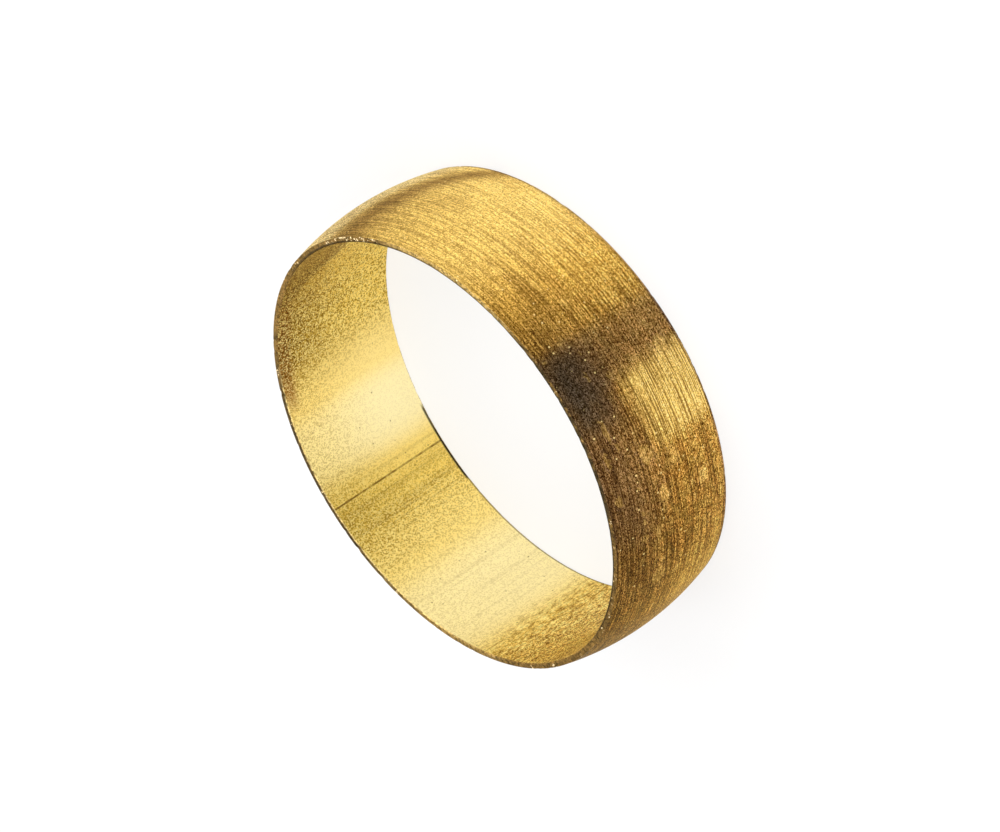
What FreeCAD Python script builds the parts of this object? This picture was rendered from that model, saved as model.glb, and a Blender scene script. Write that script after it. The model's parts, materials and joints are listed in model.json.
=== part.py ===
import FreeCAD, Part
import math
import os

# A compression olive: the barrel-shaped brass ring that seals a tube in a compression fitting.
# It is turned from drawn tube as one piece, so it is one solid of revolution.
# It stands on one end: the origin is the centre of that end, and +Z runs along the bore.

# Driving dimensions, in millimetres
TUBE_DIAMETER = 28.0      # outside of the copper tube that the olive slides over
BORE_CLEARANCE = 0.15     # how much wider the bore is than the tube
LENGTH = 9.15             # from one end face to the other
END_WALL = 0.35           # thickness of the wall at each end, edges not yet broken
CROWN_RISE = 0.59         # how far the middle of the barrel stands out beyond its ends
BORE_EDGE_BREAK = 0.06    # deburring cut at each mouth of the bore, at 45 degrees
RIM_EDGE_RADIUS = 0.05    # rounding where the crowned outside meets each end face

# Sizes that follow from them
HALF_LENGTH = LENGTH / 2
BORE_RADIUS = (TUBE_DIAMETER + BORE_CLEARANCE) / 2
END_RADIUS = BORE_RADIUS + END_WALL
CROWN_RADIUS = END_RADIUS + CROWN_RISE
CROWN_ARC_RADIUS = (HALF_LENGTH**2 + CROWN_RISE**2) / (2 * CROWN_RISE)

AXIS_POINT = FreeCAD.Vector(0, 0, 0)
AXIS = FreeCAD.Vector(0, 0, 1)
FULL_TURN = 360.0


def wall_point(radius, height):
    """A point of the wall's section, which is drawn in the XZ plane."""
    return FreeCAD.Vector(radius, 0, height)


def at_other_end(point):
    """The same point of the section at the top end, because both ends are alike."""
    return wall_point(point.x, LENGTH - point.z)


def rim_rounding():
    """Start, middle and end of the foot's rim arc, tangent to the flat end and to the crown."""
    crown_centre = wall_point(CROWN_RADIUS - CROWN_ARC_RADIUS, HALF_LENGTH)
    reach = CROWN_ARC_RADIUS - RIM_EDGE_RADIUS
    rise = HALF_LENGTH - RIM_EDGE_RADIUS
    centre = wall_point(crown_centre.x + math.sqrt(reach**2 - rise**2), RIM_EDGE_RADIUS)
    to_end_face = AXIS * -1
    to_crown = (centre - crown_centre).normalize()
    to_middle = (to_end_face + to_crown).normalize()
    return [centre + way * RIM_EDGE_RADIUS for way in (to_end_face, to_middle, to_crown)]


def wall_section():
    """The wall cut lengthways: a straight bore, two flat ends and one crowned arc outside."""
    bore_foot = wall_point(BORE_RADIUS, BORE_EDGE_BREAK)
    land_inside = wall_point(BORE_RADIUS + BORE_EDGE_BREAK, 0)
    land_outside, rim_middle, crown_foot = rim_rounding()
    crown_middle = wall_point(CROWN_RADIUS, HALF_LENGTH)
    foot = [
        Part.LineSegment(bore_foot, land_inside),
        Part.LineSegment(land_inside, land_outside),
        Part.Arc(land_outside, rim_middle, crown_foot),
    ]
    crown = Part.Arc(crown_foot, crown_middle, at_other_end(crown_foot))
    top = [
        Part.Arc(*map(at_other_end, (crown_foot, rim_middle, land_outside))),
        Part.LineSegment(*map(at_other_end, (land_outside, land_inside))),
        Part.LineSegment(*map(at_other_end, (land_inside, bore_foot))),
    ]
    bore = Part.LineSegment(at_other_end(bore_foot), bore_foot)
    outline = [*foot, crown, *top, bore]
    return Part.Face(Part.Wire([curve.toShape() for curve in outline]))


def olive():
    """The whole ring, turned about the axis from the wall's section."""
    return wall_section().revolve(AXIS_POINT, AXIS, FULL_TURN)


def main():
    os.makedirs("parts", exist_ok=True)
    ring = olive()
    ring.exportStep("parts/olive.step")
    print(f"olive: {len(ring.Solids)} solid, valid {ring.isValid()}, volume {ring.Volume:.2f} mm3")
    print(f"outside {2 * CROWN_RADIUS:.2f}, bore {2 * BORE_RADIUS:.2f}, length {LENGTH:.2f} mm")


if __name__ == "__main__":
    main()
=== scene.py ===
# %% [markdown]
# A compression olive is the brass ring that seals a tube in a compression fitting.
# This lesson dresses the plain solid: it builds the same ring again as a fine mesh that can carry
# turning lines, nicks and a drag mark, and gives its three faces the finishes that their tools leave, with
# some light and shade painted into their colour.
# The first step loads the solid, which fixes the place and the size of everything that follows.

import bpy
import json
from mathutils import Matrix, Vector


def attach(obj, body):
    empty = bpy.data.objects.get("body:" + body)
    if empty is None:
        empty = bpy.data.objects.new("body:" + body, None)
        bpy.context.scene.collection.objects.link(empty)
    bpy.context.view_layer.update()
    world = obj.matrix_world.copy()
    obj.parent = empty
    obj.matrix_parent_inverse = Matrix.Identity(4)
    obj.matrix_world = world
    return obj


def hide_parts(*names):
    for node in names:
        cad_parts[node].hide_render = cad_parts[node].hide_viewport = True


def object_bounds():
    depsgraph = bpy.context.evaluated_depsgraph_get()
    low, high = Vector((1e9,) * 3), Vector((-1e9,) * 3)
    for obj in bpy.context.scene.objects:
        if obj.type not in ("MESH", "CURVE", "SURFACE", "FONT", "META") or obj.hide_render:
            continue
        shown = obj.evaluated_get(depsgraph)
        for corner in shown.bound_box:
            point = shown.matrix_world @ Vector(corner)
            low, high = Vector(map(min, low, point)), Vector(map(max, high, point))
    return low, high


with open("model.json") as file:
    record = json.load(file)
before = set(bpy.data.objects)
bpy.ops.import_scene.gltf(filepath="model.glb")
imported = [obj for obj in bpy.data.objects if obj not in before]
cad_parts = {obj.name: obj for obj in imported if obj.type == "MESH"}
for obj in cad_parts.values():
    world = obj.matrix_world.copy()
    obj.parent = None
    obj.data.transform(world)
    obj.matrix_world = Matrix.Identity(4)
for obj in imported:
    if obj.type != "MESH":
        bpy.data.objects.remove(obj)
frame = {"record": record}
cad_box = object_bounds()
print("box of the solid in metres:", cad_box)

# %% [markdown]
# The ring is turned from drawn tube, so one section swept round the axis is all of its form: a straight
# bore, a small cut at each mouth, a narrow flat land at each end and a crowned outside.
# The bore and the length are read from the frame, and the rest are the sizes that the solid was turned to.
# The arcs could be traced by eye, but here they are worked out, so that the mesh lies on the solid.

# %% Sizes of the section, in metres
import math

MM = 0.001
END_WALL = 0.35 * MM
CROWN_RISE = 0.59 * MM
BORE_EDGE_BREAK = 0.06 * MM
RIM_EDGE_RADIUS = 0.05 * MM

tube_bore = next(mount for mount in frame["record"]["mounts"] if mount["name"] == "tube_bore")
bore_radius = tube_bore["dims"]["r_mm"] * MM
length = cad_box[1][2] - cad_box[0][2]
half = length / 2
crown_radius = bore_radius + END_WALL + CROWN_RISE
crown_arc = (half**2 + CROWN_RISE**2) / (2 * CROWN_RISE)
crown_centre = crown_radius - crown_arc
rim_reach = math.sqrt((crown_arc - RIM_EDGE_RADIUS) ** 2 - (half - RIM_EDGE_RADIUS) ** 2)
rim_centre = crown_centre + rim_reach
rim_turn = math.atan2(rim_reach, half - RIM_EDGE_RADIUS)
print(f"bore {2 * bore_radius / MM:.2f} mm, length {length / MM:.2f} mm, crown arc {crown_arc / MM:.2f} mm")

# %% [markdown]
# The section is a closed line of points, each with the finish of the face that it lies on.
# A modifier could sweep it, but here the mesh is made point by point, because then every point knows
# its angle and its height, and the tools' marks can be cut there.

# %% Points of the section
CROWN_ROWS = 92
RIM_ROWS = 4
BORE_ROWS = 16


def lower_rim():
    """From the bore's mouth over the flat land and round the rim, at the end that the ring stands on."""
    points = [("bore", bore_radius, BORE_EDGE_BREAK), ("rim", bore_radius + BORE_EDGE_BREAK, 0.0)]
    for row in range(RIM_ROWS + 1):
        turn = rim_turn * row / RIM_ROWS
        radius = rim_centre + RIM_EDGE_RADIUS * math.sin(turn)
        points.append(("rim", radius, RIM_EDGE_RADIUS * (1 - math.cos(turn))))
    return points


def section():
    """The closed section as (finish, radius, height), up the outside and back down the bore."""
    low = lower_rim()
    start = low[-1][2]
    points = list(low)
    for row in range(1, CROWN_ROWS):
        height = start + (length - 2 * start) * row / CROWN_ROWS
        points.append(("outside", crown_centre + math.sqrt(crown_arc**2 - (height - half) ** 2), height))
    points.extend((finish, radius, length - height) for finish, radius, height in reversed(low))
    for row in range(1, BORE_ROWS):
        height = length - BORE_EDGE_BREAK - (length - 2 * BORE_EDGE_BREAK) * row / BORE_ROWS
        points.append(("bore", bore_radius, height))
    return points


rows = section()
print("points of the section:", len(rows))

# %% [markdown]
# A real olive isn't a perfect revolve. The turning tool leaves shallow rings on the crown, the parting
# cut leaves nicks in the rim, and the draw die leaves one long drag mark in the bore.
# A bump in the material could fake them, but at an edge a bump shows no notch. So they are cut into the
# mesh itself, always into the metal, and the ring keeps its outside size.

# %% Marks that the tools leave, as depths in metres
from mathutils import Vector, noise

DRAG_DEGREES = 86.8
DRAG_HALF_WIDTH = 0.06 * MM
DRAG_DEPTH = 0.014 * MM
RING_DEPTH = 0.010 * MM
WIDE_RINGS_PER_MM = 2.6
FINE_RINGS_PER_MM = 5.5
NICK_DEPTH = 0.045 * MM
NICK_START = 0.2
NICK_STEEPNESS = 1.6

drag_angle = math.radians(DRAG_DEGREES)
drag_half_turn = DRAG_HALF_WIDTH / bore_radius


def noise_round(angle, spread, rise):
    """Smooth noise about 0 that joins up after a full turn; a larger spread makes it change faster."""
    return noise.noise(Vector((spread * math.cos(angle), spread * math.sin(angle), rise)))


def turning_ring(angle, height):
    """Depth of the tool's rings on the crown: close across the axis, long around it."""
    wide = noise_round(angle, 1.6, height / MM * WIDE_RINGS_PER_MM)
    fine = noise_round(angle, 2.5, height / MM * FINE_RINGS_PER_MM + 40.0)
    return RING_DEPTH * (0.5 + 0.35 * wide + 0.25 * fine)


def rim_nick(angle, upper):
    """How far the rim is chipped back at this angle; most of it is whole, and the two ends differ."""
    close = noise_round(angle, 34, 7.0 if upper else 19.0)
    slow = noise_round(angle, 5, 3.0 if upper else 11.0)
    chipped = max(0.0, close + 0.5 * slow - NICK_START)
    return NICK_DEPTH * min(1.0, chipped * NICK_STEEPNESS)


def drag_mark(angle):
    """Depth of the one long mark in the bore."""
    away = abs((angle - drag_angle + math.pi) % (2 * math.pi) - math.pi) / drag_half_turn
    return DRAG_DEPTH * max(0.0, 1.0 - away)


print(f"drag mark at {DRAG_DEGREES} degrees, {DRAG_DEPTH / MM:.3f} mm deep")

# %% [markdown]
# The section is repeated at many angles round the axis. Half a degree apart is fine enough for the rings
# and the nicks, but the drag mark is no wider than one such step. Smaller steps all round would make
# the mesh several times as heavy, so a few more columns are added just there.

# %% The angles of the mesh's columns, closer together beside the drag mark
SEGMENTS = 720
DRAG_COLUMNS = (-1.0, -0.5, 0.0, 0.5, 1.0)

angles = {2 * math.pi * column / SEGMENTS for column in range(SEGMENTS)}
angles |= {drag_angle + drag_half_turn * part for part in DRAG_COLUMNS}
angles = sorted(angles)
print("columns:", len(angles))

# %% [markdown]
# Now each point of the section is set at each angle, with its mark cut in, and neighbours are joined by
# four-sided faces. Each face takes the number of its finish. The faces are shaded smooth, and only
# sharper edges stay crisp, so that the crown looks round and the mouths keep their small cut.

# %% The ring's mesh
import bpy

FINISHES = ["outside", "rim", "bore"]
SHARP_EDGE = math.radians(32)
NICK_LEAN = 0.4


def placed(finish, radius, height, angle):
    """One point of the ring after the tools' marks are cut into it."""
    upper = height > half
    if finish == "outside":
        radius -= turning_ring(angle, height)
    elif finish == "bore":
        radius += drag_mark(angle)
    else:
        nick = rim_nick(angle, upper)
        height += -nick if upper else nick
        radius -= NICK_LEAN * nick * (radius - bore_radius) / END_WALL
    return radius * math.cos(angle), radius * math.sin(angle), height


def ring_mesh():
    """The section swept round the axis, with a finish for every face."""
    points = [placed(*row, angle) for row in rows for angle in angles]
    faces, finish_of = [], []
    across, around = len(rows), len(angles)
    for i in range(across):
        j = (i + 1) % across
        pair = (rows[i][0], rows[j][0])
        finish = next(name for name in FINISHES if name in pair)
        for k in range(around):
            n = (k + 1) % around
            faces.append((i * around + k, i * around + n, j * around + n, j * around + k))
            finish_of.append(FINISHES.index(finish))
    mesh = bpy.data.meshes.new("olive_ring")
    mesh.from_pydata(points, [], faces)
    mesh.polygons.foreach_set("material_index", finish_of)
    mesh.polygons.foreach_set("use_smooth", [True] * len(faces))
    mesh.update()
    mesh.set_sharp_from_angle(angle=SHARP_EDGE)
    return mesh


ring = bpy.data.objects.new("olive_ring", ring_mesh())
bpy.context.scene.collection.objects.link(ring)
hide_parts("olive")
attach(ring, "root")
print("triangles:", 2 * len(ring.data.polygons))

# %% [markdown]
# The outside carries pale flecks, where the brown film has come away and bare brass shows.
# Noise alone would scatter them evenly, so the larger ones are listed one by one. Each is an ellipse along
# the turning lines with a ragged edge, and some are hollow, because the film held on in their middle.
# They are kept as one number per point of the mesh, which the finish reads later.

# %% Flecks on the outside
# Angle in degrees, height in millimetres, length in degrees, width in millimetres, 1 for a hollow one
FLECKS = [
    (-123.0, 8.4, 2.6, 0.45, 0), (-112.5, 8.3, 4.2, 0.34, 0), (-106.0, 7.7, 6.0, 0.30, 0),
    (-111.0, 7.4, 3.2, 0.20, 0), (-141.5, 7.3, 1.2, 0.22, 0), (-135.5, 7.1, 2.2, 0.50, 1),
    (-131.0, 7.0, 1.6, 0.25, 0), (-128.8, 7.0, 0.9, 0.20, 0), (-122.0, 7.0, 0.9, 0.22, 0),
    (-148.5, 6.0, 5.5, 0.85, 1), (-144.0, 5.8, 1.6, 0.35, 0), (-135.5, 6.15, 3.4, 0.22, 0),
    (-134.4, 5.85, 0.9, 0.20, 0), (-126.5, 5.3, 4.8, 0.65, 0), (-115.5, 5.8, 4.2, 0.95, 1),
    (-119.5, 4.0, 3.6, 0.60, 0), (-132.5, 3.0, 1.8, 0.30, 0), (-128.5, 3.1, 1.6, 0.26, 0),
    (-129.0, 2.1, 4.2, 0.75, 0), (-141.5, 1.8, 1.6, 0.25, 0), (-138.0, 1.1, 1.2, 0.24, 0),
    (-93.5, 7.1, 2.6, 0.24, 1), (-95.5, 5.8, 1.6, 0.30, 1), (-96.0, 1.6, 3.6, 0.85, 1),
    (-90.0, 1.8, 1.1, 0.22, 0), (-88.5, 2.1, 0.7, 0.16, 0), (-85.5, 8.8, 0.8, 0.18, 0),
    (-84.0, 7.4, 0.7, 0.16, 0), (-88.3, 6.6, 0.7, 0.16, 0), (-77.0, 5.5, 2.8, 0.32, 0),
    (-74.0, 5.15, 1.2, 0.16, 0), (-70.0, 6.1, 3.8, 0.34, 0), (-67.5, 7.0, 1.0, 0.18, 0),
    (-65.0, 7.75, 2.4, 0.26, 0), (-61.5, 7.05, 3.8, 0.38, 0), (-57.0, 5.7, 3.8, 0.42, 0),
    (-30.5, 8.35, 1.6, 0.24, 0), (-23.5, 5.5, 2.2, 0.24, 0), (-150.0, 4.6, 2.2, 0.40, 0),
]
# Distances from a fleck's middle are shares of its half length and half width
FLECK_REACH = 1.1
FLECK_FADE = 0.25
HOLLOW_REACH = 0.35
EDGE_REACH = 1.3
EDGE_HALF_WIDTH = 0.3
HOLLOW_LEAST = 0.25  # how bare the middle of a hollow fleck still is


def fleck_at(angle, height):
    """How bare the brass is at a point of the outside, up to 1, and below 0 in a fleck's dark edge."""
    turn, rise = math.degrees(angle), height / MM
    ragged = noise.noise(Vector((turn * 0.9, rise * 4.0, 2.0))) * 0.55
    ragged += noise.noise(Vector((turn * 2.3, rise * 9.0, 5.0))) * 0.45
    bare = 0.0
    for at, up, span, width, hollow in FLECKS:
        off = (turn - at + 180) % 360 - 180
        if abs(off) > span or abs(rise - up) > width:
            continue
        away = math.hypot(off / (0.5 * span), (rise - up) / (0.5 * width)) + ragged
        patch = min(1.0, max(0.0, (FLECK_REACH - away) / FLECK_FADE))
        if hollow:
            patch *= min(1.0, max(HOLLOW_LEAST, (away - HOLLOW_REACH) / HOLLOW_REACH))
        edge = max(0.0, 1.0 - abs(away - EDGE_REACH) / EDGE_HALF_WIDTH)
        if patch > 0:
            bare = max(bare, patch)
        elif bare <= 0:
            bare = min(bare, -edge)
    return bare


bare_values = [
    fleck_at(angle, height) if finish == "outside" else 0.0
    for finish, _, height in rows
    for angle in angles
]
bareness = ring.data.attributes.new("bare_flecks", "FLOAT", "POINT")
bareness.data.foreach_set("value", bare_values)
print("flecks:", len(FLECKS))

# %% [markdown]
# A finish is a tree of nodes. They could be added and linked one by one, but that takes pages of links.
# Here finishes are written as formulas: a small class stands for one socket of a node tree, arithmetic
# on it adds Math nodes, and its method node() adds any other kind. So a finish can be read like a recipe.

# %% A socket that does arithmetic
class Wire:
    """One output socket of a material's nodes."""

    def __init__(self, socket):
        self.socket = socket
        self.tree = socket.id_data

    @staticmethod
    def node(tree, kind, settings, sockets, output=0):
        """A new node: its settings first, then a value or a link for each socket."""
        made = tree.nodes.new(kind)
        for name, value in settings.items():
            setattr(made, name, value)
        for key, value in sockets.items():
            if isinstance(value, Wire):
                tree.links.new(value.socket, made.inputs[key])
            else:
                made.inputs[key].default_value = value
        return Wire(made.outputs[output])

    def math(self, operation, first, second):
        return Wire.node(self.tree, "ShaderNodeMath", {"operation": operation}, {0: first, 1: second})

    def __add__(self, other):
        return self.math("ADD", self, other)

    def __sub__(self, other):
        return self.math("SUBTRACT", self, other)

    def __mul__(self, other):
        return self.math("MULTIPLY", self, other)

    def __rsub__(self, other):
        return self.math("SUBTRACT", other, self)

    __radd__ = __add__
    __rmul__ = __mul__


print("Wire is ready")

# %% [markdown]
# Finishes grow by steps: a number says how much of a stain there is, and a colour turns into another by
# that share. A hard limit would leave cut edges, so a smooth step is used. Colours go through the Mix
# node, because a Math node would turn them grey.

# %% Steps between numbers and colours
# The Mix node has its colour sockets after those for numbers and vectors
MIX_SHARE, MIX_FIRST, MIX_SECOND, MIX_RESULT = 0, 6, 7, 2


def step(value, low, high):
    """0 below low, 1 above high, and smooth between; low may be the larger one."""
    settings = {"interpolation_type": "SMOOTHSTEP"}
    sockets = {"Value": value, "From Min": low, "From Max": high}
    return Wire.node(value.tree, "ShaderNodeMapRange", settings, sockets)


def blended(share, first, second, how="MIX"):
    """The first colour, turning into the second as share goes from 0 to 1."""
    tree = next(item.tree for item in (share, first, second) if isinstance(item, Wire))
    settings = {"data_type": "RGBA", "blend_type": how}
    sockets = {MIX_SHARE: share, MIX_FIRST: first, MIX_SECOND: second}
    return Wire.node(tree, "ShaderNodeMix", settings, sockets, MIX_RESULT)


def tinted(share, colour, tint):
    """The colour multiplied by a tint, where share is 1."""
    return blended(share, colour, tint, "MULTIPLY")


print("steps are ready")

# %% [markdown]
# Worn metal is never even. Soft lines and clouds come from noise, which is stretched along the way that
# the tool went. Specks could be noise too, but that fades at their edges, and specks of grit and pits are
# crisp. So they are Voronoi cells: each cell is one patch with a random number, or one dot at its middle.

# %% Patterns
def vector_maths(operation, *vectors, output="Vector"):
    """A Vector Math node on one or two vectors; its output Value is a length or a product."""
    settings = {"operation": operation}
    return Wire.node(vectors[0].tree, "ShaderNodeVectorMath", settings, dict(enumerate(vectors)), output)


def grain(place, stretch, detail, roughness=0.5):
    """Noise round 0.5, with stretch as its waves per millimetre along X, Y and Z."""
    stretched = vector_maths("MULTIPLY", place, stretch)
    sockets = {"Vector": stretched, "Scale": 1.0, "Detail": detail, "Roughness": roughness}
    return Wire.node(place.tree, "ShaderNodeTexNoise", {"noise_dimensions": "3D"}, sockets)


def cells(place, stretch, output):
    """Voronoi cells, with stretch as cells per millimetre along X, Y and Z."""
    sockets = {"Vector": vector_maths("MULTIPLY", place, stretch), "Scale": 1.0}
    return Wire.node(place.tree, "ShaderNodeTexVoronoi", {}, sockets, output)


def specks(place, stretch):
    """A random number from 0 to 1 for each tiny patch."""
    patches = cells(place, stretch, "Color")
    return Wire.node(place.tree, "ShaderNodeSeparateColor", {}, {"Color": patches}, "Red")


def sparks(place, per_mm, size):
    """1 in small round dots, where size is their radius as a share of the space between them."""
    away = cells(place, (per_mm, per_mm, per_mm), "Distance")
    return step(away, size, 0.5 * size)


print("patterns are ready")

# %% [markdown]
# Stains and worn places lie at certain angles round the ring. An angle could come from an arctangent,
# which jumps after half a turn. The cosine to a direction has no such jump, so places are found by it.

# %% Directions round the ring
def along(place, degrees):
    """How far a place lies in this direction from the axis, in millimetres."""
    way = (math.cos(math.radians(degrees)), math.sin(math.radians(degrees)), 0.0)
    return vector_maths("DOT_PRODUCT", place, way, output="Value")


def flattened(place):
    """The same place at height 0, so that only its angle and its distance from the axis count."""
    return vector_maths("MULTIPLY", place, (1, 1, 0))


def toward(place, degrees):
    """1 where the ring faces this way round, 0 a quarter turn away: the cosine between the two."""
    return along(vector_maths("NORMALIZE", flattened(place)), degrees)


def sector(place, degrees, inner, outer):
    """1 within inner degrees of this direction, 0 beyond outer degrees."""
    return step(toward(place, degrees), math.cos(math.radians(outer)), math.cos(math.radians(inner)))


print("directions are ready")

# %% [markdown]
# Every finish starts from the place on the ring, in millimetres. The ring's own coordinates give it, so
# a stain stays where it is in every view. Every finish ends in the same metal: a fully metallic surface
# that may spread its reflections more across the tool's lines than along them.
# Bright specks multiply the colour, which could then give back more light than falls on it. A last mix
# keeps the darker of it and the brightest brass, and so no speck shines by itself.

# %% The start and the end of every finish
EDGE_TINT = (0.97, 0.88, 0.65, 1)
QUARTER_TURN = 0.25


def new_finish(name):
    """An empty material with its nodes, and the place on the ring and its height in millimetres."""
    material = bpy.data.materials.new(name)
    material.use_nodes = True
    tree = material.node_tree
    spot = Wire.node(tree, "ShaderNodeTexCoord", {}, {}, "Object")
    place = vector_maths("MULTIPLY", spot, (1 / MM, 1 / MM, 1 / MM))
    height = Wire.node(tree, "ShaderNodeSeparateXYZ", {}, {0: place}, "Z")
    return material, tree, place, height


def relief(tree, height, millimetres):
    """A bump of this depth over the whole range of height."""
    sockets = {"Strength": 1.0, "Distance": millimetres * MM, "Height": height}
    return Wire.node(tree, "ShaderNodeBump", {}, sockets)


def brass(tree, colour, brightest, roughness, normal, anisotropy):
    """The metal itself, on the node that the material already has; no speck passes the brightest colour."""
    colour = blended(1.0, colour, brightest, "DARKEN")
    shader = tree.nodes["Principled BSDF"]
    shader.inputs["Metallic"].default_value = 1.0
    shader.inputs["Specular Tint"].default_value = EDGE_TINT
    shader.inputs["Anisotropic"].default_value = anisotropy
    shader.inputs["Anisotropic Rotation"].default_value = QUARTER_TURN
    tree.links.new(colour.socket, shader.inputs["Base Color"])
    tree.links.new(roughness.socket, shader.inputs["Roughness"])
    tree.links.new(normal.socket, shader.inputs["Normal"])


print("the metal is ready")

# %% [markdown]
# The crown is turned. Its rings spread a reflection across themselves, up and down the ring, and hardly
# along themselves, so a lamp shows as a bar across the crown: an anisotropic metal gives that.
# Its patterns come first. The rings are noise that is stretched very long round the ring, at two widths.

# %% The patterns of the turned outside
outside, tree, place, height = new_finish("turned_brass")
long_rings = grain(place, (0.05, 0.05, 3.6), 2.0, 0.6)
fine_rings = grain(place, (0.28, 0.28, 12.0), 0.0)
patches = specks(place, (15.0, 11.0, 20.0))
dots = sparks(place, 1.4, 0.11)
clouds = grain(place, (0.35, 0.35, 0.8), 2.0)
hues = grain(place, (1.5, 1.5, 2.4), 2.0)
flecks = Wire.node(tree, "ShaderNodeAttribute", {"attribute_name": "bare_flecks"}, {}, "Fac")
print("patterns of the outside:", len(tree.nodes), "nodes")

# %% [markdown]
# Brown film has grown over the outside. Painted highlights leave it off over the top and in a bar across
# the crown, and painted reflections pale two edges. Painted shade darkens it beside the upper rim, round
# -177 degrees and along the foot, and painted dark reflections lie in a band and a corner. A painted image
# could place all this, but a few smooth sectors and heights do it without one.
# Clouds of noise shift their edges, so that none is a straight line.
# One brown stripe, a painted dark reflection, bends as it goes down: its angle changes with the square of
# the depth below the rim.

# %% Where the outside is filmed, stained or rubbed clean
# Directions and half widths of sectors in degrees, heights in millimetres
STREAK_TOP = -17.5
STREAK_BEND = 0.207  # degrees for each square millimetre of depth below the rim

# Painted highlights: over the top and in a bar across the crown the brass is paler and the film is left off
highlight_top_paling = sector(place, -30, 18, 44)
highlight_top_clearing = sector(place, -48, 10, 48)
highlight_bar = sector(place, -106, 4, 13) * step(height + 2.0 * clouds + long_rings, 7.6, 5.8)
# Painted reflection: the far edge is paler towards the foot, where the film is thinned
grazing_reflection_edge = sector(place, -166, 8, 24) * step(height, 8.0, 3.0)
# The film is left off where highlights and a pale edge are painted
film = (1 - highlight_top_clearing) * (1 - 0.9 * highlight_bar) * (1 - 0.4 * grazing_reflection_edge) * (0.8 + 0.2 * clouds)
scratched = sector(place, -78, 8, 22)
# Darker brown film towards the upper rim, partly painted shade
heavy_film_and_shade = 0.4 * sector(place, -114, 26, 54) + 0.42 * sector(place, -117, 8, 24)
heavy_film_and_shade = heavy_film_and_shade * step(height + clouds, 4.1, 8.5)
# Painted dark reflections: a narrow band, and a corner beside the upper rim
reflected_dark_band = sector(place, -91, 3, 9)
# Painted shade round -177 degrees
shaded_far_end = sector(place, -177, 7, 16)
reflected_dark_corner = sector(place, -95, 3, 13) * step(height + 2.5 * clouds, 6.4, 9.6) * step(height, 9.9, 8.3)
# A painted dark reflection: a brown stripe that bends as it goes down
below_rim = length / MM - height
from_streak = math.degrees(1) * toward(place, STREAK_TOP - 90) - STREAK_BEND * below_rim * below_rim
streak_tail = step(from_streak * (0.155 - 0.0105 * height), 1.0, 0.0) * sector(place, -25, 22, 36)
reflected_streak = step(from_streak, -6.8, 0.0) * streak_tail * (0.25 + 0.6 * clouds + 0.6 * hues)
# Painted shadow along the foot
outside_foot_shadow = step(height, 0.28, 0.12)
rim_shadow = sector(place, -112, 22, 36) * step(height, 8.95, 9.08)
# Painted reflection: a pale edge beyond the stripe
pale_edge_reflection = step(from_streak, -3.0, -8.5) * sector(place, 0, 10, 26)
# Painted shade: darker towards the upper rim, less under the paler top
rimward_shade = step(height, 0.5, 8.8) * (1 - 0.4 * highlight_top_paling)
bare = step(flecks, 0.0, 0.6)
fleck_edge = step(flecks, 0.0, -0.8)
print("with the stains placed:", len(tree.nodes), "nodes")

# %% [markdown]
# The colour is laid on in layers: brass with its painted highlights first, then film, stains, painted shade
# and painted reflections, and last the bare flecks. One ramp could hold all the colours, but layers can be
# changed one at a time.

# %% The colour of the outside
CLEAN_BRASS_HIGHLIGHT = (0.83, 0.572, 0.158, 1)
GOLD_FILM = (0.70, 0.418, 0.080, 1)
BROWN_FILM = (0.33, 0.164, 0.029, 1)
DARK_FILM_AND_SHADE = (0.18, 0.10, 0.043, 1)
DARK_REFLECTION = (0.074, 0.060, 0.043, 1)
REFLECTED_STREAK_BROWN = (0.29, 0.155, 0.034, 1)
PALE_REFLECTION = (0.93, 0.75, 0.40, 1)
REDDER = (1.02, 0.97, 0.94, 1)
GREENER = (0.94, 1.02, 1.06, 1)
FLECK_GOLD = (0.64, 0.41, 0.105, 1)
FLECK_LIFT = (1.18, 1.22, 1.32, 1)
RIMWARD_SHADE = (0.64, 0.59, 0.46, 1)

# Paler brass for the painted highlights
colour = blended(highlight_top_paling + 0.9 * highlight_bar, GOLD_FILM, CLEAN_BRASS_HIGHLIGHT)
# The pale edge is a painted reflection
colour = blended(0.7 * pale_edge_reflection, colour, PALE_REFLECTION)
colour = blended(film * (1 - 0.9 * pale_edge_reflection), colour, BROWN_FILM)
colour = tinted(film, colour, blended(step(hues, 0.38, 0.62), REDDER, GREENER))
# A painted dark reflection in brown
colour = blended(reflected_streak, colour, REFLECTED_STREAK_BROWN)
# Dark film and the dark edges of flecks, with painted shade by the upper rim, round -177 degrees and along
# the foot, painted shadow under the rim, and a painted dark reflection in a band
stain_and_shade = heavy_film_and_shade + 0.45 * reflected_dark_band + 0.35 * shaded_far_end + 0.2 * fleck_edge + 0.6 * outside_foot_shadow + 0.5 * rim_shadow
colour = blended(stain_and_shade, colour, DARK_FILM_AND_SHADE)
# A painted dark reflection in the corner by the upper rim
colour = blended(0.8 * reflected_dark_corner, colour, DARK_REFLECTION)
colour = blended(0.3 * bare, colour, FLECK_GOLD)
colour = tinted(bare, colour, FLECK_LIFT)
# Painted shade towards the upper rim
colour = tinted(rimward_shade, colour, RIMWARD_SHADE)
print("with the colour laid on:", len(tree.nodes), "nodes")

# %% [markdown]
# The finest marks lie on top: dark and bright turning lines, gritty specks and a few sparks. The lines
# are stronger where there is film, because the tool's ridges carry it unevenly, and in the painted highlight
# bar. They also feed a shallow bump, so that the reflections break up where the colour does.

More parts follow.
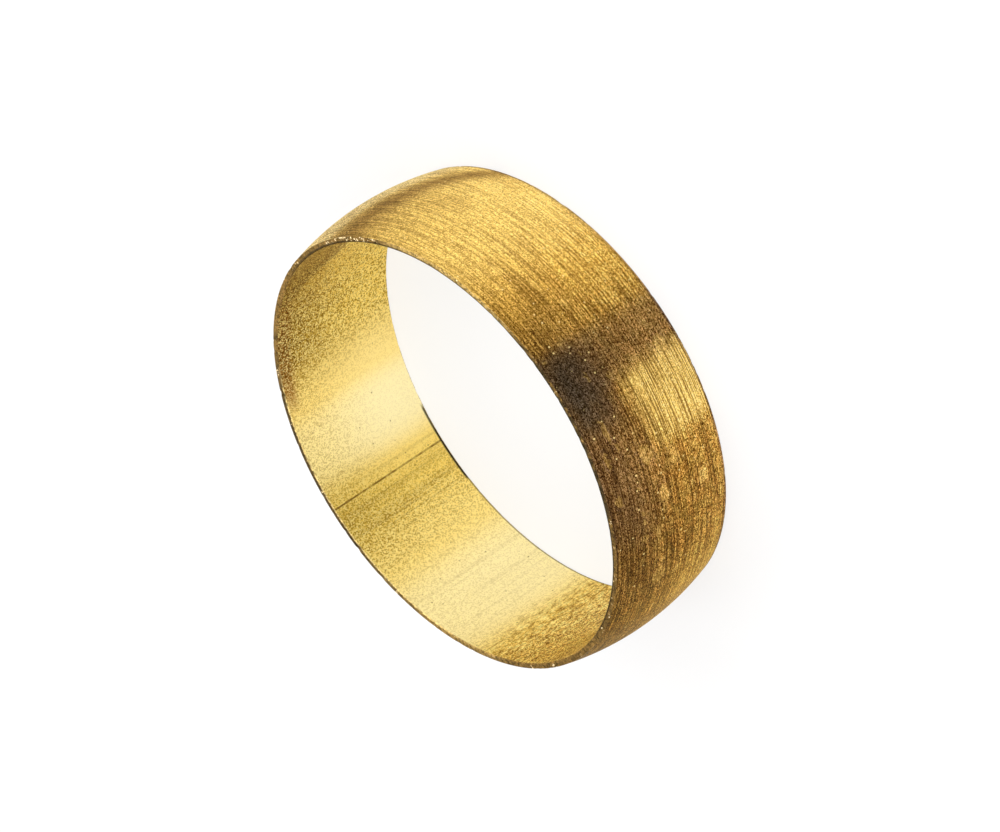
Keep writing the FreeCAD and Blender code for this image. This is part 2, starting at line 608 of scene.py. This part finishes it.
# %% The lines, the specks and the relief of the outside
DARK_LINE = (0.40, 0.33, 0.25, 1)
BRIGHT_LINE = (1.45, 1.5, 1.55, 1)
DARK_GRAIN = (0.22, 0.13, 0.0, 1)
BRIGHT_GRAIN = (2.3, 2.55, 3.5, 1)
SPARK_GOLD = (0.95, 0.74, 0.30, 1)
BRIGHTEST_OUTSIDE = (0.96, 0.76, 0.34, 1)
OUTSIDE_RELIEF_MM = 0.010
OUTSIDE_ANISOTROPY = 0.92

lines = 0.08 * long_rings + 1.52 * fine_rings
line_depth = 0.35 + 0.43 * film + 0.5 * highlight_bar + 0.2 * scratched
line_depth = line_depth * (1 - 0.6 * reflected_dark_corner) * (1 - 0.4 * reflected_dark_band)
grain_depth = 1 - 0.35 * bare
colour = tinted(step(lines, 0.79, 0.66) * line_depth * grain_depth, colour, DARK_LINE)
colour = tinted(step(lines, 0.85, 0.98) * line_depth, colour, BRIGHT_LINE)
dark_grain = step(patches, 0.45, 0.15) * (0.5 + 0.55 * film + 0.15 * scratched) * grain_depth
bright_grain = step(patches, 0.55, 0.95) * (0.3 + 0.9 * film + 0.15 * scratched) * grain_depth
colour = tinted(dark_grain, colour, DARK_GRAIN)
colour = tinted(bright_grain, colour, BRIGHT_GRAIN)
colour = blended(0.8 * dots, colour, SPARK_GOLD)
cut = relief(tree, lines + 0.3 * patches, OUTSIDE_RELIEF_MM)
brass(tree, colour, BRIGHTEST_OUTSIDE, 0.47 + 0.1 * long_rings, cut, OUTSIDE_ANISOTROPY)
ring.data.materials.append(outside)
print("turned outside:", len(tree.nodes), "nodes")

# %% [markdown]
# The rim was parted off and tumbled, so it is brown and rough, with bright flecks where it was knocked.
# It is only a third of a millimetre wide, and still shows a brown land. A dark line at the bore's mouth is
# painted shadow, and a pale-gold edge over part of the mouth is a painted highlight. Separate faces could
# carry these, but the distance into the wall places them as well.

# %% Where the rim is grimy, worn or dented, and its painted shadow and highlight
rim, tree, place, height = new_finish("parted_rim")
speckle = grain(place, (6.0, 6.0, 6.0), 3.0, 0.6)
knocks = grain(place, (1.1, 1.1, 1.1), 3.0, 0.6)
patches = specks(place, (9.0, 9.0, 9.0))
into_wall = vector_maths("LENGTH", flattened(place), output="Value") - bore_radius / MM
grimy = 0.8 * sector(place, 82, 24, 42) + 0.4 * step(knocks, 0.52, 0.36)
grimy = grimy + 0.8 * sector(place, -106, 18, 32) * step(knocks, 0.58, 0.48)
worn = 0.8 * sector(place, -54, 12, 26) + 0.3 * sector(place, 125, 14, 30)
# Painted shadow along the bore's mouth
mouth_shadow_line = sector(place, -80, 78, 98) * step(into_wall, 0.19, 0.10)
# A painted highlight on the edge of the mouth
mouth_highlight = sector(place, 90, 32, 46) * step(into_wall, 0.08, 0.03)
dented = step(knocks + 0.25 * patches, 0.80, 0.94)
dented = dented + 0.9 * sector(place, -21, 5, 10) * step(patches, 0.80, 0.88)
print("patterns of the rim:", len(tree.nodes), "nodes")

# %% The colour and the relief of the rim
RIM_BROWN = (0.23, 0.135, 0.040, 1)
RIM_DARK = (0.07, 0.045, 0.020, 1)
MOUTH_SHADOW = (0.04, 0.027, 0.014, 1)
MOUTH_HIGHLIGHT_GOLD = (0.74, 0.56, 0.22, 1)
RIM_GOLD = (0.52, 0.36, 0.12, 1)
RIM_BRIGHT = (0.97, 0.80, 0.48, 1)
RIM_RELIEF_MM = 0.01
NO_ANISOTROPY = 0.0

colour = blended(grimy, RIM_BROWN, RIM_DARK)
colour = blended(worn, colour, RIM_GOLD)
colour = blended(0.85 * mouth_shadow_line, colour, MOUTH_SHADOW)
colour = blended(0.75 * mouth_highlight, colour, MOUTH_HIGHLIGHT_GOLD)
colour = blended(dented * step(into_wall, 0.08, 0.14), colour, RIM_BRIGHT)
colour = tinted(0.5 + 0.2 * speckle, colour, 2 * patches)
rough = relief(tree, speckle, RIM_RELIEF_MM)
brass(tree, colour, RIM_BRIGHT, 0.50 + 0.1 * speckle, rough, NO_ANISOTROPY)
ring.data.materials.append(rim)
print("rim:", len(tree.nodes), "nodes")

# %% [markdown]
# The bore keeps the skin of the drawn tube: paler than the outside, with a fine speckle of pits.
# Lines of the draw die run along it, mostly faint, and dirt has settled in the one deep drag mark.
# So its noise is stretched along the axis, where the outside's is stretched round it.

# %% The patterns of the drawn bore
bore, tree, place, height = new_finish("drawn_brass")
die_lines = grain(place, (6.0, 6.0, 0.08), 2.0, 0.55)
ripples = grain(place, (4.5, 4.5, 1.6), 3.0, 0.65)
score_lines = grain(place, (1.8, 1.8, 0.03), 1.0)
patches = specks(place, (17.0, 14.0, 13.0))
crust = specks(place, (7.0, 7.0, 5.0))
clouds = grain(place, (0.3, 0.3, 0.3), 3.0)
pits = sparks(place, 1.2, 0.08)
dashes = grain(place, (0.5, 0.5, 1.4), 2.0)
print("patterns of the bore:", len(tree.nodes), "nodes")

# %% [markdown]
# The bore has two pale bands of painted highlight, and it is stained and darkened by painted shade towards
# its mouth. A brown wedge hangs from the mouth as a painted reflection: its lower edge is a slanted line,
# which is a height that changes with the angle.
# A mask painted by hand could hold all this, but sectors and heights are easier to move.

# %% Where the bore has painted highlights and shade, and where it is stained or scored
# Directions and half widths of sectors in degrees, heights in millimetres
WEDGE_DEGREES = 20
WEDGE_HEIGHT = 7.06
WEDGE_SLOPE = 20  # millimetres of height for each radian round the ring

# Painted highlights: two paler bands where lamps reflect
cream_highlight_band = sector(place, 70, 3, 25) * (1 - 0.6 * step(height, 2.0, 9.0))
highlight_bands = cream_highlight_band + 0.78 * sector(place, 130, 6, 30)
highlight_paling = 0.3 * sector(place, 66, 4, 24) + 0.45 * sector(place, 72, 2, 12)
highlight_paling = highlight_paling * (1 - 0.3 * step(height, 2.0, 9.0))
highlight_paling = highlight_paling + 0.2 * sector(place, 120, 10, 28) + 0.45 * sector(place, 127, 4, 20)
mouthward = step(height + 2.0 * clouds, 3.0, 9.0)
stained = sector(place, 12, 28, 50) * (0.2 + 0.7 * mouthward)
mouth_stain = sector(place, 32, 14, 23) * step(height + clouds, 5.0, 9.4)
deep_end = sector(place, 180, 8, 18)
warmed = sector(place, 180, 14, 42)
granular = sector(place, 18, 12, 46)
# A painted reflection: a brown wedge under the mouth, edged with a painted bright line
from_wedge = height + 2.0 * clouds - WEDGE_SLOPE * toward(place, WEDGE_DEGREES + 90) - WEDGE_HEIGHT
reflected_wedge = step(from_wedge, -0.3, 0.5) * sector(place, 16, 8, 30) * step(height + 2.0 * clouds, 3.0, 6.2)
under_wedge = from_wedge + 0.15
wedge_highlight_line = step(under_wedge * under_wedge, 0.05, 0.01) * sector(place, 15.5, 1.5, 4)
red_mouth = sector(place, 42, 12, 20) * step(height + 0.8 * clouds, 8.2, 9.0)
# Painted shadow along the foot
bore_foot_shadow = sector(place, 87.5, 9.5, 11.5) * step(height, 0.26, 0.16)
bore_foot_shadow = bore_foot_shadow + 0.75 * sector(place, 118, 28, 36) * step(height, 0.16, 0.11)
beside_drag = along(place, DRAG_DEGREES + 90)
drag_dirt = step(beside_drag * beside_drag, 0.006, 0.0005) * sector(place, DRAG_DEGREES, 10, 20)
# The scored band also carries painted shade
scored_and_shaded = sector(place, 89, 5, 14)
rippled = sector(place, 160, 10, 24)
print("with the stains placed:", len(tree.nodes), "nodes")

# %% [markdown]
# Here too the colour is laid on in layers: the skin with its painted highlights, then the stains, a painted
# reflection and painted shade at the mouth, and the lines that the die has scored.

# %% The colour of the bore
PALE_HIGHLIGHT_BRASS = (0.99, 0.94, 0.63, 1)
YELLOW_BRASS = (0.97, 0.72, 0.165, 1)
STAINED_BRASS = (0.60, 0.42, 0.095, 1)
WARM_BRASS = (0.88, 0.55, 0.175, 1)
WEDGE_REFLECTION = (0.33, 0.185, 0.052, 1)
BRIGHT_SPECK_AND_HIGHLIGHT = (0.99, 0.88, 0.36, 1)
RED_FILM = (0.40, 0.17, 0.05, 1)
MOUTH_STAIN = (0.72, 0.63, 0.44, 1)
MOUTHWARD_SHADE = (0.80, 0.77, 0.66, 1)
DIE_LINE = (0.55, 0.48, 0.36, 1)

# The paler brass is the painted highlight
colour = blended(highlight_paling, YELLOW_BRASS, PALE_HIGHLIGHT_BRASS)
colour = blended(stained * (0.5 + 0.8 * clouds), colour, STAINED_BRASS)
colour = blended(0.8 * warmed, colour, WARM_BRASS)
# The brown wedge is a painted reflection, and its bright line a painted highlight
colour = blended(0.85 * reflected_wedge, colour, WEDGE_REFLECTION)
colour = blended(wedge_highlight_line, colour, BRIGHT_SPECK_AND_HIGHLIGHT)
colour = blended(0.75 * red_mouth, colour, RED_FILM)
colour = tinted(mouth_stain, colour, MOUTH_STAIN)
# Painted shade: darker towards the mouth, less in the painted highlights
colour = tinted(step(height, 0.5, 9.0) * (1 - 0.6 * highlight_bands), colour, MOUTHWARD_SHADE)
# Painted shade in the scored band, towards the mouth
colour = tinted(0.35 * scored_and_shaded * step(height, 3.0, 8.0), colour, MOUTHWARD_SHADE)
colour = tinted(step(die_lines, 0.5, 0.3) * (0.2 + 0.6 * scored_and_shaded) * (1 - cream_highlight_band), colour, DIE_LINE)
colour = tinted(0.28 * step(score_lines, 0.44, 0.36) * scored_and_shaded, colour, DIE_LINE)
print("with the colour laid on:", len(tree.nodes), "nodes")

# %% [markdown]
# The specks are weakest in the bands of painted highlight and strongest where the skin is rippled. The dirt
# comes last, because it lies in the pits and in the drag mark, over everything else, and so does a painted
# shadow along the foot.

# %% The specks, the dirt and the relief of the bore
RIPPLE_DARK = (0.42, 0.30, 0.16, 1)
BORE_PIT = (0.36, 0.27, 0.06, 1)
DIRT = (0.16, 0.085, 0.014, 1)
FOOT_SHADOW = (0.03, 0.025, 0.02, 1)
BORE_RELIEF_MM = 0.004
BORE_ANISOTROPY = 0.85

colour = tinted(step(ripples, 0.48, 0.36) * rippled, colour, RIPPLE_DARK)
colour = blended(step(ripples, 0.50, 0.62) * rippled, colour, BRIGHT_SPECK_AND_HIGHLIGHT)
colour = tinted(0.4 * step(crust, 0.45, 0.20) * (rippled + reflected_wedge), colour, BORE_PIT)
colour = tinted(0.7 * deep_end, colour, MOUTH_STAIN)
speckled = (1 - 0.8 * highlight_bands) * (0.56 + 0.15 * mouthward + 0.35 * granular + 0.45 * rippled)
colour = blended(0.65 * step(patches, 0.55, 0.85) * speckled, colour, BRIGHT_SPECK_AND_HIGHLIGHT)
colour = tinted(step(patches, 0.42, 0.26) * speckled, colour, BORE_PIT)
colour = blended(0.7 * pits, colour, DIRT)
colour = blended(drag_dirt * (0.5 + 0.4 * step(dashes, 0.38, 0.6)), colour, DIRT)
# Painted shadow along the foot
colour = blended(0.9 * bore_foot_shadow, colour, FOOT_SHADOW)
skin = relief(tree, die_lines + 0.4 * patches, BORE_RELIEF_MM)
brass(tree, colour, PALE_HIGHLIGHT_BRASS, 0.38 + 0.12 * die_lines, skin, BORE_ANISOTROPY)
ring.data.materials.append(bore)
print("drawn bore:", len(tree.nodes), "nodes")

# %% [markdown]
# The ring stands on a plain white floor, which also gives the metal something pale to mirror.
# More light could make the floor white, but it would bleach the brass too. So to the camera and in
# reflections the floor is mostly a plain white glow, and the rest is lit paper, which keeps the shadow.

# %% Floor
FLOOR_SIZE = 6.0
FLOOR_WHITE = (0.86, 0.86, 0.86, 1)
GLOW_SHARE = 0.7

bpy.ops.mesh.primitive_plane_add(size=FLOOR_SIZE, location=(0, 0, 0))
floor = bpy.context.object
floor.name = "floor"
paper = bpy.data.materials.new("white_paper")
paper.use_nodes = True
tree = paper.node_tree
paper_shader = tree.nodes["Principled BSDF"]
paper_shader.inputs["Base Color"].default_value = FLOOR_WHITE
paper_shader.inputs["Roughness"].default_value = 1.0
paper_shader.inputs["Specular IOR Level"].default_value = 0.0
camera_ray, glossy_ray, clear_ray = (
    Wire.node(tree, "ShaderNodeLightPath", {}, {}, kind)
    for kind in ("Is Camera Ray", "Is Glossy Ray", "Is Transmission Ray")
)
seen = camera_ray + glossy_ray + clear_ray
glow = Wire.node(tree, "ShaderNodeEmission", {}, {"Strength": 1.0})
lit_paper = Wire(paper_shader.outputs["BSDF"])
surface = Wire.node(tree, "ShaderNodeMixShader", {}, {0: GLOW_SHARE * seen, 1: lit_paper, 2: glow})
tree.links.new(surface.socket, tree.nodes["Material Output"].inputs["Surface"])
floor.data.materials.append(paper)
print("floor:", FLOOR_SIZE, "m wide")

# %% [markdown]
# The camera was fitted to the outlines of the photograph: it looks down on the ring at about 32 degrees and
# is rolled, so that the ring seems to lean to the left. A long lens keeps the two ends nearly the same size.
# Tilting the ring instead would give the same picture, but then it wouldn't stand on its end.

# %% Camera
from mathutils import Matrix

ELEVATION = math.radians(31.63)
UPRIGHT_IN_IMAGE = math.radians(146.468)
PIXELS_PER_BORE_RADIUS = 237.78
CAMERA_DISTANCE = 32.9 * bore_radius
IMAGE_WIDTH, IMAGE_HEIGHT = 1000, 832
RING_CENTRE_PIXEL = (496.6, 417.8)
SENSOR_WIDTH = 36.0

level_right = Vector((1, 0, 0))
level_up = Vector((0, math.sin(ELEVATION), math.cos(ELEVATION)))
back = Vector((0, -math.cos(ELEVATION), math.sin(ELEVATION)))
lean, drop = math.cos(UPRIGHT_IN_IMAGE), math.sin(UPRIGHT_IN_IMAGE)
right = -drop * level_right + lean * level_up
up = -lean * level_right - drop * level_up
focal_pixels = PIXELS_PER_BORE_RADIUS * CAMERA_DISTANCE / bore_radius
aside = (RING_CENTRE_PIXEL[0] - (IMAGE_WIDTH - 1) / 2) / PIXELS_PER_BORE_RADIUS * bore_radius
below = (RING_CENTRE_PIXEL[1] - (IMAGE_HEIGHT - 1) / 2) / PIXELS_PER_BORE_RADIUS * bore_radius
stand = Vector((0, 0, half)) + back * CAMERA_DISTANCE - right * aside + up * below

camera_data = bpy.data.cameras.new("camera")
camera_data.sensor_fit = "HORIZONTAL"
camera_data.sensor_width = SENSOR_WIDTH
camera_data.lens = focal_pixels / IMAGE_WIDTH * camera_data.sensor_width
camera = bpy.data.objects.new("camera", camera_data)
camera.matrix_world = Matrix.Translation(stand) @ Matrix((right, up, back)).transposed().to_4x4()
bpy.context.scene.collection.objects.link(camera)
bpy.context.scene.camera = camera
print(f"lens {camera_data.lens:.0f} mm, {CAMERA_DISTANCE:.3f} m away")

# %% [markdown]
# The world behind the lamps is a dim grey. A bright world would light the ring from everywhere alike
# and wash out the bars on the turned metal.

# %% World
WORLD_GREY = (0.06, 0.06, 0.06, 1)

bpy.context.scene.view_settings.view_transform = "Standard"
world = bpy.data.worlds.new("studio")
world.use_nodes = True
world.node_tree.nodes["Background"].inputs["Color"].default_value = WORLD_GREY
bpy.context.scene.world = world
print("world grey:", WORLD_GREY[0])

# %% [markdown]
# Softboxes stand round the ring at a low height, with dark gaps between them. The turned outside shows
# each as a bright bar and each gap as a dark one. A wide box overhead keeps the shadows on the floor soft.
# A sky picture could give such light too, but lamps can be moved one at a time.

# %% Softboxes
LAMP_DISTANCE = 1.0
LAMP_ELEVATION = 28
LAMP_HEIGHT = 0.9
TOP_AZIMUTH, TOP_ELEVATION = -51, 84
TOP_SIZE = 1.3
TOP_WATTS = 4.0
# Name, azimuth in degrees, width in metres, watts
RING_OF_LAMPS = [
    ("key", -20, 1.05, 8.0),
    ("key_left", 28, 0.45, 2.8),
    ("key_front", -65, 0.58, 3.3),
    ("side", -127, 0.90, 6.5),
    ("fill", -174, 0.85, 4.3),
    ("back_right", 73, 0.45, 3.6),
    ("back_left", 134, 0.70, 3.2),
]


def softbox(name, azimuth, elevation, width, height, watts):
    """A lamp that faces the ring from this direction."""
    data = bpy.data.lights.new(name, "AREA")
    data.shape = "RECTANGLE"
    data.size = width
    data.size_y = height
    data.energy = watts
    lamp = bpy.data.objects.new(name, data)
    a, e = math.radians(azimuth), math.radians(elevation)
    way = Vector((math.cos(a) * math.cos(e), math.sin(a) * math.cos(e), math.sin(e)))
    lamp.location = way * LAMP_DISTANCE
    lamp.rotation_euler = way.to_track_quat("Z", "Y").to_euler()
    lamp.visible_camera = False
    bpy.context.scene.collection.objects.link(lamp)


for name, azimuth, width, watts in RING_OF_LAMPS:
    softbox(name, azimuth, LAMP_ELEVATION, width, LAMP_HEIGHT, watts)
softbox("top", TOP_AZIMUTH, TOP_ELEVATION, TOP_SIZE, TOP_SIZE, TOP_WATTS)
print("softboxes:", len(RING_OF_LAMPS) + 1)

# %% [markdown]

# %% The end
import json
